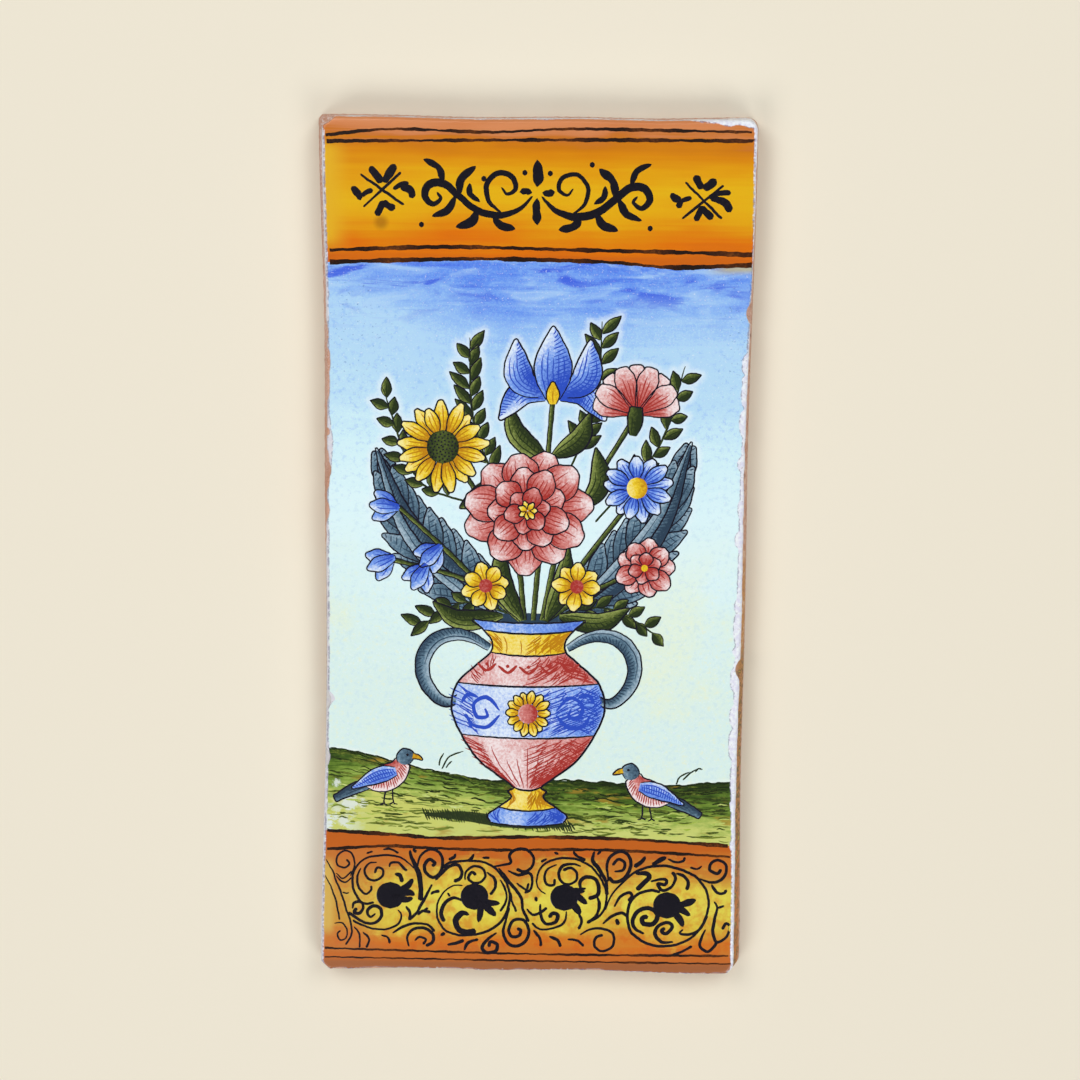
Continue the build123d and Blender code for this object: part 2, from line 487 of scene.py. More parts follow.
# Lower band: yellow in the middle of its height, orange at the edges and at the left end
nearest = place.away_from((-66, -166)) / 18
for spot, size in (((-27, -162), 22), ((17, -161), 22), ((64, -165), 23), ((92, -166), 14)):
    nearest = nearest.math("MINIMUM", nearest, place.away_from(spot) / size)
glow = nearest + (broad - 0.5) * 0.5 + (brushed - 0.5) * 0.7 + (patch - 0.5) * 0.3
band = py + (broad - 0.5) * 10 + (brushed - 0.5) * 8 + (patch - 0.5) * 10
lower = band.along(
    (-193, tint(188, 106, 46)),
    (-186, tint(212, 112, 26)),
    (-181.5, tint(212, 132, 38)),
    (-174, tint(216, 188, 60)),
    (-166, tint(222, 208, 80)),
    (-159, tint(220, 200, 76)),
    (-153, tint(210, 164, 58)),
    (-147.5, tint(200, 126, 46)),
    (-142, tint(196, 104, 36)),
)
lower = (glow.rise(1.0, 0.7) * 0.4).mix(lower, tint(230, 214, 72))
lower = (glow.rise(1.0, 1.4) * 0.45).mix(lower, tint(206, 128, 40))
mottle = place.grain(0.15, 4, 0.65)
lower = (mottle.rise(0.46, 0.66) * 0.5).mix(lower, tint(208, 92, 18))
lower = (mottle.rise(0.46, 0.32) * glow.rise(1.15, 0.8) * 0.5).mix(lower, tint(234, 222, 84))
lower = (px.rise(-56, -84) * 0.4).mix(lower, tint(198, 118, 60))
lower = py.rise(-141, -137.5).mix(lower, tint(196, 98, 26))
lower = py.rise(-188, -191).mix(lower, tint(198, 106, 38))
lower = py.rise(-192, -195).mix(lower, tint(164, 98, 56))
lower = (px.rise(-91, -95) * py.rise(-184, -176) * py.rise(-142, -150)).mix(lower, tint(216, 176, 84))

# The four fields of the painting, the white edge round them, and the clay where the glaze has gone
picture = top_band.rise(0.15, -0.15).mix(upper, wash)
picture = sky.rise(0.2, -0.2).mix(picture, green)
picture = field.rise(0.15, -0.15).mix(picture, lower)
ragged = painted + (place.grain(0.8, 4, 0.65) - 0.5) * 1.6
coat = ragged.rise(-0.25, 0.25).mix(white, picture)
crack = ragged.rise(-0.5, -0.1) * ragged.rise(0.35, 0.05) * place.grain(0.4, 3).rise(0.42, 0.54)
coat = (crack * 0.6).mix(coat, tint(116, 108, 140))
broken = glazed + (place.grain(1.1, 4, 0.7) - 0.5) * 0.9
whole = broken.rise(-0.1, 0.12)
coat = (broken.rise(0.55, 0.05) * 0.45).mix(coat, tint(176, 166, 176))
face_colour = whole.mix(clay, coat)
face_colour.into(shader.inputs["Base Color"])
dullness = 0.82 - 0.60 * whole + 0.10 * (speck - 0.5)
dullness.into(shader.inputs["Roughness"])
peel = place.grain(0.32, 2, 0.5) * 0.05 * whole + grit * 0.22 * (1 - whole) + 0.28 * whole
relief = start.node("ShaderNodeBump", {}, {"Strength": 0.7, "Distance": 0.001, "Height": peel}, "Normal")
relief.into(shader.inputs["Normal"])
slab_mesh.materials.append(slab_material)
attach(painted_slab, "root")
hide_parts("tile")

# Ruled lines
# Brown lines drawn by hand with a thin brush along both ornament bands, over the orange.
# All brushwork is laid as thin raised strokes that follow the glaze and stop where it has flaked off.
face_finder = KDTree(len(shaped))
for index, spot in enumerate(shaped):
    face_finder.insert(spot, index)
face_finder.balance()
worn = np.minimum(glaze_reach, paint_reach)

# Nothing has flaked off within these distances of the middle of the face
SOUND_X, SOUND_Y = 84, 184


def ribbon(points, widths, sides, step=0.7, sag=0.0, blunt=0.0):
    """Places along a curve and across it, from side -1 to side 1, with its widths spread evenly along it.

    Its middle sags back along the curve, as level lines do round a vase, and its ends may be blunt.
    What lies off the glaze is trimmed.
    """
    path = smooth_path(points, step)
    sides = np.asarray(sides, float)
    if (np.abs(path).max(0) > (SOUND_X, SOUND_Y)).any():
        kept = [worn[face_finder.find((*spot, FACE))[1]] > 0.15 for spot in path]
        runs = np.split(np.arange(len(path)), np.flatnonzero(np.diff(kept)) + 1)
        longest = max((run for run in runs if kept[run[0]]), key=len, default=runs[0][:3])
        path = path[longest] if len(longest) > 2 else path[:3]
    run = np.concatenate([[0], np.cumsum(np.linalg.norm(np.diff(path, axis=0), axis=1))])
    profile = smooth_path([(100 * k / (len(widths) - 1), width) for k, width in enumerate(widths)], 2.0)
    width = np.interp(run / run[-1] * 100, profile[:, 0], profile[:, 1])
    if blunt:
        inside = np.clip(np.minimum(run, run[-1] - run) / blunt, 0, 1)
        width = width * np.sqrt(1 - (1 - inside) ** 2)
    width = np.maximum(width, 0.06)
    ahead = np.gradient(path, axis=0)
    left = np.stack([-ahead[:, 1], ahead[:, 0]], 1) / np.linalg.norm(ahead, axis=1)[:, None]
    places_across = path[:, None] + left[:, None] * (width[:, None] * sides / 2)[..., None]
    ahead = (path[-1] - path[0]) / np.linalg.norm(path[-1] - path[0])
    return places_across - sag * (1 - sides**2)[None, :, None] * ahead, run / run[-1]


class Coat:
    """Strokes and washes of one pigment, gathered into one thin raised skin on the glaze."""

    def __init__(self, lift):
        self.lift = lift
        self.spots = []
        self.faces = []
        self.tones = []
        self.corners = 0
        self.chance = np.random.default_rng(7)

    def lay(self, points, widths, tone=0.9, across=1, step=0.7, shake=0.0, sag=0.0, over=0.0, blunt=0.0):
        """A ribbon of paint along a curve.

        Its tone is a number, or a function of the side and of the share of the way along.
        """
        sides = np.linspace(-1, 1, across + 1)
        top, share = ribbon(points, widths, sides * 0.94, step, sag, blunt)
        foot, share = ribbon(points, widths, sides, step, sag, blunt)
        sway = self.chance.uniform(0, 6.3, 2)
        reach = np.arange(len(share)) * step
        drift = shake * (np.sin(0.8 * reach + sway[0]) + 0.5 * np.sin(2.1 * reach + sway[1]))
        flat = np.stack([top, foot]) + drift[None, :, None, None]
        x, y = flat.reshape(-1, 2).T
        count = x.size // 2
        z = FACE + glaze_rise(x, y)
        z[:count] += self.lift + over + self.chance.uniform(0, 0.003)
        z[count:] -= 0.03
        for index in np.flatnonzero((np.abs(x) > SOUND_X) | (np.abs(y) > SOUND_Y)):
            if worn[face_finder.find((x[index], y[index], FACE))[1]] < 0.1:
                z[index] -= 0.4
        number = np.arange(2 * count).reshape(2, len(share), across + 1) + self.corners
        section = np.concatenate([number[0], number[1][:, ::-1]], 1)
        after = np.roll(section, -1, 1)
        skin = np.stack([section[:-1], section[1:], after[1:], after[:-1]], -1)
        self.faces += skin.reshape(-1, 4).tolist()
        self.faces += [section[0].tolist(), section[-1][::-1].tolist()]
        self.spots.append(np.stack([x, y, z], 1))
        level = tone(sides[None, :], share[:, None]) if callable(tone) else tone
        level = np.broadcast_to(level, (len(share), across + 1))
        self.tones += [level.ravel(), level.ravel()]
        self.corners += 2 * count

    def stroke(self, points, width, tips=(0.35, 0.35), tone=0.9, step=0.7, over=0.0):
        """A brush stroke that swells from one tip to its full width and thins again to the other."""
        swell = width * self.chance.uniform(0.85, 1.15, 3)
        step = min(step, max(0.55, 0.3 * width))
        widths = (tips[0] * width, *swell, tips[1] * width)
        self.lay(points, widths, tone, step=step, shake=0.07, over=over, blunt=0.45 * width)

    def disc(self, centre, across, up, tone=0.9, over=0.0):
        """A round spot of paint."""
        share = np.linspace(-1, 1, 15)
        x, y = centre
        spine = [(x, y - up / 2), (x, y), (x, y + up / 2)]
        self.lay(spine, across * np.sqrt(1 - share**2), tone, max(2, round(across / 1.2)), 0.5, over=over)

    def finish(self, name, material):
        """Makes the piece, with a flat map for its bake."""
        spots = np.vstack(self.spots)
        mesh = bpy.data.meshes.new(name)
        mesh.from_pydata(spots / MM, [], self.faces)
        tone = mesh.attributes.new("tone", "FLOAT", "POINT")
        tone.data.foreach_set("value", np.concatenate(self.tones).astype(np.float32))
        corner = np.zeros(len(mesh.loops), int)
        mesh.loops.foreach_get("vertex_index", corner)
        flat = spots[:, :2] - spots[:, :2].min(0)
        flat = 0.01 + 0.98 * flat / flat.max()
        bake_map = mesh.uv_layers.new(name="OFBake")
        bake_map.data.foreach_set("uv", flat[corner].astype(np.float32).ravel())
        mesh.materials.append(material)
        piece = bpy.data.objects.new(name, mesh)
        bpy.context.scene.collection.objects.link(piece)
        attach(piece, "root")
        return piece


def pigment(name, pale, mid, dark):
    """Glossy fired paint that goes from pale to dark with its tone, cloudy as a loaded brush leaves it."""
    material, shader, start = fired_material(name)
    place = start.on_piece()
    tone = start.stored("tone", "Fac")
    amount = tone + (place.grain(0.8, 3, 0.7) - 0.5) + (place.grain(0.11, 2) - 0.5) * 0.5
    colour = amount.along((0.1, pale), (0.5, mid), (0.92, dark))
    colour.into(shader.inputs["Base Color"])
    shader.inputs["Roughness"].default_value = 0.22
    return material


def ruled_tone(side, share):
    """Darker and paler by turns, as the brush is loaded and runs dry."""
    return 0.72 + 0.3 * np.sin(31 * share)


brown_line = pigment("brown_line", tint(130, 70, 20), tint(70, 34, 8), tint(34, 18, 10))
ruled = Coat(0.05)
for width, line in (
    (1.5, "-97,189.4 -95.8,189.6 -65.3,192.6 -21.4,191.6 14,193.3 60,193.0 97,192.6"),
    (1.8, "-97,187 -18.7,188.1 30.6,188.6 97,188.7"),
    (2.0, "-97,138.5 -40.4,140.5 17.3,139.7 72.7,138.9 97,138.2"),
    (2.2, "-97,133.1 -55,134.6 -18.3,135.3 31.3,134.4 61.6,132.3 97,133.7"),
    (1.9, "-97,-130.8 -61,-132.7 -41.8,-133.9 0.9,-132.9 43,-133.3 97,-136.2"),
    (1.5, "-97,-140 -67.6,-138.1 -48.3,-138.8 -15.9,-139.4 33.7,-138.7 97,-141.4"),
    (1.2, "-97,-188.1 1.4,-189.7 97,-189.4"),
    (1.0, "-97,-192.4 1.4,-193.1 97,-193.3"),
):
    swell = width * ruled.chance.uniform(0.55, 1.2, 24)
    ruled.lay(places(line), swell, ruled_tone, step=1.2, shake=0.12)
ruled.finish("ruled_lines", brown_line)

# Upper band
# Two crosses of thin strokes and fat drops, with a leafy flourish between them.
# All of it is in black over the yellow, and the loaded brush spreads wider than the line it follows.
black = pigment("black_brushwork", tint(92, 62, 40), tint(34, 28, 38), tint(15, 13, 24))
upper_black = Coat(0.06)
CROSS_SPREAD = 1.25
for width, line in (
    (1.0, "-79.7,172.6 -59.9,159.0"),
    (1.0, "-78.3,157.9 -61.2,173.6"),
    (2.9, "-75.2,176.1 -72.8,172.6 -69.6,168.9"),
    (2.9, "-63.9,177.1 -66.4,173.0 -69.2,168.9"),
    (2.8, "-83.3,167.2 -81.6,164.8 -79.2,162.9"),
    (2.0, "-73.8,165.5 -76.5,164.7 -79.2,162.8"),
    (2.2, "-79.0,163.4 -80.8,161.2"),
    (1.7, "-64.8,166.0 -60.8,168.3 -57.6,168.8"),
    (2.7, "-61.7,167.4 -57.2,165.7 -55.8,162.1"),
    (2.6, "-69.5,160.7 -66.8,158.6 -63.9,157.2"),
    (2.4, "-69.3,160.9 -70.6,157.4 -72.5,154.0"),
    (1.0, "66.3,170.4 83.2,154.1"),
    (1.0, "65.2,154.0 83.8,169.2"),
    (2.9, "70.7,173.5 72.2,170.4 74.2,167.4"),
    (2.9, "80.1,171.8 77.6,169.2 74.4,167.3"),
    (2.7, "60.1,165.4 62.0,163.2 64.6,161.9"),
    (2.0, "69.5,163.3 67.0,162.8 64.6,161.9"),
    (2.2, "64.8,162.2 63.3,158.8"),
    (1.9, "76.7,163.4 82.0,165.6 87.0,165.7"),
    (2.7, "77.6,163.4 83.9,161.7 87.2,157.3"),
    (2.6, "73.9,159.8 76.4,156.6 79.1,154.1"),
    (2.5, "74.3,159.9 72.8,156.2 71.1,153.1"),
):
    upper_black.stroke(places(line), width * CROSS_SPREAD, (0.8, 1.0))
for side in (-1, 1):
    for width, line in (
        (3.3, "2,163.5 8,157.6 17,154.6 27,156.6 35,162.6 42,168.2 48.5,167.6 50.6,162.6 47,159.0 "
              "43.4,161.6 45.2,164.4"),
        (2.3, "15,154.8 21.5,160.4 22.6,168.2 17.4,173.4 11,171.6 9.8,166.4 13.6,164.2 16.2,167.2"),
        (4.0, "27,157.0 29.6,151.6 37,148.8"),
        (3.4, "20,154.6 17,150.4 10,148.6"),
        (3.8, "35,163.2 34.0,170.4 27.4,176.2"),
        (3.0, "42,168.6 44.4,175.4 51,178.8"),
        (3.2, "36.5,163.2 40.5,156.4 47.5,153.6"),
        (2.6, "25.6,160.4 30,163.6 30.4,168.6"),
    ):
        turned_line = [(side * (x + 0.02 * y - 3.3), y - 0.012 * side * x) for x, y in places(line)]
        upper_black.stroke(turned_line, width, (0.3, 0.35))
for width, line in (
    (4.4, "0,167.6 0.4,172.6 -0.2,179.6"),
    (4.0, "0,162.6 -0.3,157.6 0.3,150.6"),
    (3.0, "-2.2,165.0 -5.0,165.6 -8.0,165.2"),
    (3.0, "2.2,165.0 5.0,164.8 8.0,165.4"),
):
    upper_black.stroke(places(line), width, (0.25, 0.2))
for spot in ((-5.6, 173.8), (5.8, 173.6), (-24, 171.0), (24.6, 177.6), (-52, 150.4), (51, 149.6)):
    upper_black.disc(spot, 2.4, 2.6)
upper_black.finish("upper_band_brushwork", black)

# Lower band
# A running scroll with four dark fruits, drawn freehand with curls, hooks and leaves,
# in the same black as the upper band and with a thinner brush.
lower_black = Coat(0.06)
SCROLL_SPREAD = 1.75
for width, line in (
    (0.52, "-96.8,-144.0 -93.2,-150.3 -91.6,-155.0 -89.0,-161.6 -86.8,-169.0 -84.5,-176.3 -84.5,-181.7 "
           "-87.2,-186.5"),
    (0.47, "-97.1,-151.7 -94.2,-157.7 -92.0,-163.7 -90.7,-169.7 -90.0,-174.4"),
    (0.56, "-84.8,-152.9 -82.8,-147.5 -83.8,-142.5 -87.4,-140.6 -90.9,-143.3 -90.9,-147.3 -87.7,-148.9 "
           "-85.2,-146.9 -86.7,-144.7"),
    (0.47, "-91.6,-152.6 -90.0,-154.6 -87.1,-155.9 -84.1,-153.5"),
    (0.47, "-91.6,-151.3 -88.4,-154.1 -84.1,-150.5"),
    (0.47, "-88.7,-160.8 -86.8,-161.3 -85.3,-160.8"),
    (0.66, "-54.7,-149.0 -58.6,-145.2 -63.7,-142.9 -70.2,-142.7 -77.3,-144.1 -81.9,-148.2 -83.8,-153.5 "
           "-83.2,-159.5 -80.6,-164.5 -77.4,-166.3 -73.5,-165.4"),
    (0.66, "-72.1,-146.0 -76.0,-146.7 -78.1,-150.1 -76.7,-153.8 -72.8,-154.8 -69.6,-152.5 -69.6,-149.5 "
           "-72.2,-148.8 -73.3,-151.4"),
    (0.66, "-79.8,-148.8 -81.6,-153.5 -80.6,-158.8 -77.7,-161.5 -75.1,-159.6 -75.1,-157.4"),
    (0.75, "-66.6,-148.5 -65.7,-146.3 -62.4,-146.2 -59.8,-148.5 -58.2,-150.2"),
    (1.13, "-64.1,-151.6 -61.3,-152.5 -60.4,-155.7"),
    (0.89, "-83.9,-168.9 -83.1,-165.9 -80.0,-165.4 -78.8,-168.2 -80.6,-170.9 -83.1,-170.4 -81.6,-168.2"),
    (0.89, "-72.8,-170.8 -75.5,-172.7 -76.8,-169.8 -74.4,-167.4 -70.9,-168.1 -70.2,-171.8 -72.2,-174.8 "
           "-76.1,-175.9 -81.3,-173.7 -85.8,-170.4"),
    (0.66, "-62.4,-168.8 -60.8,-172.0 -62.4,-176.0 -67.6,-178.4 -72.8,-178.5 -78.7,-176.9 -83.9,-174.3"),
    (0.75, "-58.8,-167.1 -56.7,-170.2 -57.2,-173.9"),
    (1.36, "-56.8,-139.8 -56.0,-143.8 -54.0,-147.8 -52.4,-152.4 -51.7,-157.8 -51.7,-164.5"),
    (0.94, "-46.4,-156.3 -48.8,-161.4 -51.7,-166.8 -53.7,-170.5 -57.5,-173.9"),
    (0.85, "-55.5,-139.3 -53.7,-141.1"),
    (0.85, "-53.2,-171.5 -50.7,-169.5 -46.8,-169.9"),
    (0.66, "-51.1,-169.8 -48.1,-167.8"),
    (0.89, "-53.7,-150.4 -52.2,-143.4 -48.2,-139.8 -43.7,-140.3 -41.4,-144.9 -42.4,-150.3 -45.6,-153.0 "
           "-49.2,-151.0 -49.8,-147.0 -47.6,-144.4 -45.0,-146.0 -46.6,-147.8"),
    (1.03, "-44.9,-154.5 -41.7,-150.9 -38.5,-147.7 -34.6,-146.8 -32.3,-150.1 -33.3,-153.4 -36.2,-154.9"),
    (0.85, "-47.0,-161.4 -45.7,-160.2 -42.7,-159.6"),
    (0.85, "-35.3,-141.2 -36.0,-143.0 -38.8,-144.6"),
    (0.85, "-26.7,-141.3 -27.8,-143.4 -30.1,-145.2"),
    (0.70, "-22.9,-143.1 -19.2,-143.3"),
    (0.66, "-69.6,-139.9 -65.7,-139.6 -62.1,-141.6"),
    (0.56, "-77.3,-141.8 -74.1,-140.7"),
    (0.70, "-31.8,-156.6 -36.5,-157.0 -41.0,-160.3 -43.9,-166.4 -43.6,-173.1 -40.3,-178.4 -34.5,-180.8 "
           "-27.3,-180.7 -20.2,-178.8 -13.7,-174.0 -10.5,-167.2 -9.9,-159.9 -12.6,-153.2 -17.8,-147.4 "
           "-23.6,-145.1 -30.1,-144.8 -37.8,-145.7 -41.7,-148.4"),
    (1.08, "-31.9,-164.0 -36.5,-162.9 -40.4,-165.6 -42.0,-170.4 -40.7,-174.7"),
    (0.56, "-39.1,-160.3 -37.7,-162.3"),
    (0.85, "-31.0,-154.3 -30.4,-150.1 -26.8,-147.4 -23.0,-148.2 -21.3,-152.0 -23.6,-155.0 -26.8,-155.4 "
           "-29.3,-153.1 -27.8,-150.4 -25.4,-151.5"),
    (0.89, "-20.7,-150.0 -17.1,-153.3 -16.6,-157.3 -19.0,-161.2"),
    (1.60, "-28.7,-170.8 -32.2,-170.2 -35.1,-173.6 -34.0,-177.8 -29.9,-179.6 -25.4,-178.7"),
    (0.66, "-14.5,-153.6 -11.6,-159.2 -11.7,-164.6 -14.4,-169.3"),
    (0.89, "-17.8,-147.4 -12.6,-146.5 -9.4,-145.3 -10.1,-141.8 -6.9,-139.0 -1.7,-139.2 1.1,-142.7 "
           "0.7,-147.0 -2.9,-149.7 -6.8,-148.3"),
    (0.80, "-10.8,-149.2 -6.1,-151.3 -0.9,-150.4 0.8,-153.7 -0.2,-158.4 -2.9,-159.9"),
    (0.89, "-9.9,-167.2 -11.3,-172.6 -12.7,-178.7 -11.0,-184.0 -6.5,-186.0 -2.0,-183.2 -0.7,-177.8 "
           "-3.3,-173.3 -7.9,-173.4 -10.1,-178.0 -8.5,-181.4 -5.2,-180.7 -4.5,-178.2 -6.5,-177.4"),
    (0.85, "-15.2,-147.9 -9.3,-155.8 -4.7,-161.8 -3.4,-168.5 -0.7,-174.1"),
    (0.66, "-9.3,-159.9 -8.6,-164.5 -6.6,-169.3"),
    (0.70, "-6.7,-155.1 -2.2,-158.4 -0.9,-155.1"),
    (0.85, "-57.2,-187.0 -57.9,-181.7 -54.6,-178.1 -49.4,-178.0 -46.0,-180.6 -46.1,-184.5 -49.4,-186.5"),
    (0.75, "-54.6,-184.1 -52.3,-182.1 -49.3,-183.4 -50.6,-185.8"),
    (0.80, "-65.0,-180.4 -59.8,-177.1 -54.6,-175.6 -48.8,-176.0 -44.9,-179.3"),
    (0.66, "-70.5,-181.4 -67.1,-182.5 -66.3,-185.6"),
    (0.66, "-79.0,-179.9 -76.0,-183.6 -77.4,-187.8"),
    (0.94, "-42.4,-181.2 -40.1,-180.0"),
    (0.94, "-39.3,-185.9 -35.1,-184.9 -31.2,-183.5"),
    (0.85, "-31.3,-188.5 -29.2,-184.6 -24.4,-182.9"),
    (0.89, "-15.6,-179.4 -20.0,-182.8 -22.7,-186.8 -20.6,-189.2 -16.3,-188.5 -15.6,-185.1 -18.8,-184.1 "
           "-19.5,-186.7"),
    (0.47, "-92.5,-175.9 -88.9,-175.8 -86.4,-179.0 -87.1,-183.2 -89.8,-183.9 -91.0,-181.1 -89.4,-179.4"),
    (0.56, "-83.1,-177.3 -80.5,-181.6 -80.6,-187.8"),
    (0.66, "7.2,-160.4 4.2,-158.4 2.8,-154.3 4.1,-148.8 8.0,-144.8 14.6,-142.9 21.9,-143.5 28.5,-147.1 "
           "33.2,-153.2 35.6,-159.3 35.1,-166.2 32.1,-171.0 26.6,-174.2"),
    (0.70, "12.3,-146.0 8.0,-148.2 6.4,-152.2 7.8,-155.7 10.8,-155.9 11.3,-152.8"),
    (0.85, "23.6,-146.8 19.3,-145.6 14.8,-146.8 13.2,-150.4 14.2,-154.1 17.7,-155.5 21.2,-153.7 "
           "21.6,-149.9 18.6,-147.6 15.0,-148.7"),
    (1.08, "26.0,-157.5 23.7,-157.4 23.3,-154.1 25.9,-151.9 29.9,-152.6 32.0,-156.6 31.3,-160.7 "
           "27.1,-162.3"),
    (0.94, "31.4,-161.4 32.4,-166.2 30.5,-171.2 26.6,-174.2"),
    (0.66, "16.9,-168.5 16.3,-173.3 13.0,-176.2 5.0,-177.7 0.7,-174.5"),
    (0.85, "22.2,-169.1 24.2,-173.2 22.6,-177.5"),
    (1.03, "4.6,-165.2 5.0,-171.4 7.6,-174.9 11.8,-174.0 12.9,-170.6 10.3,-169.9 8.8,-172.0"),
    (0.94, "2.5,-161.5 2.8,-164.2"),
    (0.75, "-2.0,-167.7 1.0,-170.4 4.3,-169.7 7.9,-166.9"),
    (1.03, "29.7,-139.3 29.0,-143.7 31.8,-147.9 35.2,-153.8 35.9,-160.7"),
    (0.75, "32.9,-138.9 31.1,-141.1"),
    (0.94, "36.6,-154.0 35.7,-147.0 37.0,-142.2 41.6,-139.4 45.9,-141.4 46.7,-146.9 43.8,-152.4 "
           "39.2,-154.1 36.3,-151.8"),
    (0.80, "39.1,-149.0 43.1,-148.4 44.1,-144.9 41.0,-143.2 38.3,-146.0"),
    (0.80, "19.8,-139.2 21.7,-141.9 25.8,-143.7"),
    (0.80, "10.9,-140.0 12.9,-141.2"),
    (0.70, "7.7,-143.2 4.6,-144.9"),
    (1.13, "53.7,-141.5 51.9,-144.2 48.3,-146.8"),
    (1.32, "63.6,-141.6 60.5,-143.3 56.9,-145.7"),
    (0.70, "64.1,-142.5 68.1,-144.2 71.4,-143.5 72.2,-141.5"),
    (0.56, "80.2,-145.7 78.1,-147.3 74.6,-146.5"),
    (0.80, "35.1,-167.9 38.0,-160.6 42.5,-155.1 48.4,-149.6 54.9,-146.8 62.9,-146.0 70.8,-147.9 "
           "77.5,-151.2 82.2,-157.3 83.7,-164.1 81.9,-172.4 76.7,-180.0 68.8,-184.2 60.2,-185.0 "
           "53.6,-183.1 47.5,-178.3 45.7,-171.5 46.6,-164.6 50.5,-159.8 56.5,-158.0 61.1,-158.7"),
    (0.85, "39.4,-166.2 42.0,-161.4 45.9,-159.2 47.6,-160.7 46.0,-163.4"),
    (0.85, "34.1,-174.5 38.1,-170.9 42.7,-169.1 46.2,-171.2"),
    (1.13, "40.4,-171.9 41.6,-175.0"),
    (0.94, "67.9,-149.6 71.5,-150.6 73.9,-154.0 73.3,-157.6"),
    (0.94, "56.1,-153.7 61.0,-152.5 63.8,-153.1 63.0,-155.0 59.6,-154.9 62.1,-157.9 66.0,-156.2 "
           "67.9,-152.0 66.2,-148.8"),
    (1.32, "49.1,-149.9 53.7,-149.8 55.7,-151.5 53.1,-154.4 49.8,-157.9"),
    (0.85, "72.0,-176.6 70.4,-178.7 75.4,-179.0 80.0,-176.2 83.1,-169.6"),
    (1.22, "53.8,-179.1 49.8,-177.1 48.1,-172.8 50.7,-168.1 55.3,-166.6 58.6,-168.0 59.7,-171.3 "
           "57.4,-174.4 53.4,-174.1 52.7,-171.5 55.5,-170.7"),
    (0.99, "67.5,-183.0 62.2,-183.0 58.8,-179.6 60.1,-175.4 64.7,-173.4 66.8,-175.5 64.2,-178.8 "
           "61.8,-177.6 63.5,-176.1"),
    (0.89, "78.8,-151.9 83.5,-153.5 88.1,-153.1 91.3,-149.7 91.2,-144.9 87.9,-142.9 84.6,-144.3 "
           "84.0,-147.7 87.4,-149.4 89.4,-147.1"),
    (0.85, "84.8,-154.5 87.6,-158.7 90.9,-158.7 91.9,-157.0"),
    (0.85, "86.3,-162.7 87.7,-166.1 86.5,-172.3 86.0,-177.8 87.7,-182.6 92.0,-180.5 93.9,-175.6 "
           "92.0,-173.6 90.4,-176.5"),
    (0.70, "87.7,-166.1 91.1,-165.0"),
    (0.85, "82.6,-176.5 80.7,-180.6 80.1,-184.8 83.5,-187.5 86.8,-184.7 88.0,-182.0"),
    (0.80, "23.3,-180.1 28.3,-177.2 34.2,-176.9 38.2,-178.6 39.6,-182.0 38.3,-186.0 33.7,-187.8 "
           "30.4,-185.5 31.0,-181.3 34.4,-179.9"),
    (0.85, "1.4,-178.0 4.4,-181.7 5.1,-186.0"),
    (0.85, "8.9,-180.9 13.0,-183.0 14.5,-186.1"),
    (0.75, "17.4,-182.3 22.3,-182.8 25.2,-185.7"),
    (0.80, "66.9,-189.2 71.6,-187.6 76.5,-184.7"),
):
    lower_black.stroke(places(line), width * SCROLL_SPREAD, (0.55, 1.1))
for fruit, crown in (
    (
        (-66.0, -162.0),
        ("-58.5,-157.9 -55.3,-153.8", "-57.9,-160.5 -54.5,-161.9", "-59.2,-163.9 -55.3,-163.2"),
    ),
    (
        (-26.4, -162.1),
        ("-23.5,-166.7 -24.4,-174.5", "-20.6,-167.0 -16.3,-171.5", "-20.6,-164.7 -14.4,-165.3"),
    ),
    (
        (15.8, -162.0),
        ("20.1,-160.2 26.8,-164.9", "20.1,-165.0 23.5,-170.4", "19.4,-158.8 25.5,-158.8"),
    ),
    (
        (64.2, -165.1),
        ("69.8,-165.0 77.8,-162.2", "70.5,-167.0 75.3,-169.9", "68.9,-169.8 72.1,-175.4"),
    ),
):
    lower_black.disc(fruit, 13.4, 13.0)
    for line in crown:
        first, last = places(line)
        lower_black.stroke([fruit, first, last], 3.4, (0.9, 0.5))
lower_black.finish("lower_band_brushwork", black)

# Field
# Short strokes of dark and pale green dragged along the slope over the green wash,
# thickest under the skyline, with a few tufts of grass.
dark_green = pigment("dark_green_strokes", tint(120, 134, 50), tint(62, 78, 26), tint(30, 42, 14))
pale_green = pigment("pale_green_strokes", tint(226, 232, 176), tint(198, 212, 120), tint(160, 182, 70))
grass = Coat(0.03)
light_grass = Coat(0.045)
chance = random.Random(5)
for number in range(560):
    x = chance.uniform(-94, 92)
    high = height_on(skyline, x)
    low = height_on(field_foot, x)
    depth = chance.random() ** (1.6 if number % 3 else 0.9)
    y = high - 0.8 - depth * (high - low - 3)
    tilt = (height_on(skyline, x + 3) - height_on(skyline, x - 3)) / 6 * (1 - depth)
    half = chance.uniform(1.2, 4.5) if number % 4 else chance.uniform(5.0, 9.0)
    rise = chance.uniform(-0.2, 0.24) * half
    bends = ((-1, 0.0), (-0.3, rise), (0.4, 0.2 * rise), (1, -0.3 * rise))
    line = [(x + half * step, y + half * step * tilt + bend) for step, bend in bends]
    if number % 5 == 4 and depth > 0.35:
        light_grass.stroke(line, chance.uniform(0.5, 1.0), tone=chance.uniform(0.45, 0.95))
    else:
        width = chance.uniform(0.35, 1.0)
        grass.stroke(line, width, tone=chance.uniform(0.3, 1.0) - 0.5 * depth + 0.15 * (x > 20))
for start_x in range(-96, 94, 7):
    line = [(x, height_on(skyline, x) + chance.uniform(-0.5, 0.5)) for x in range(start_x, start_x + 10, 3)]
    grass.stroke(line, chance.uniform(0.7, 1.3), tone=0.95)
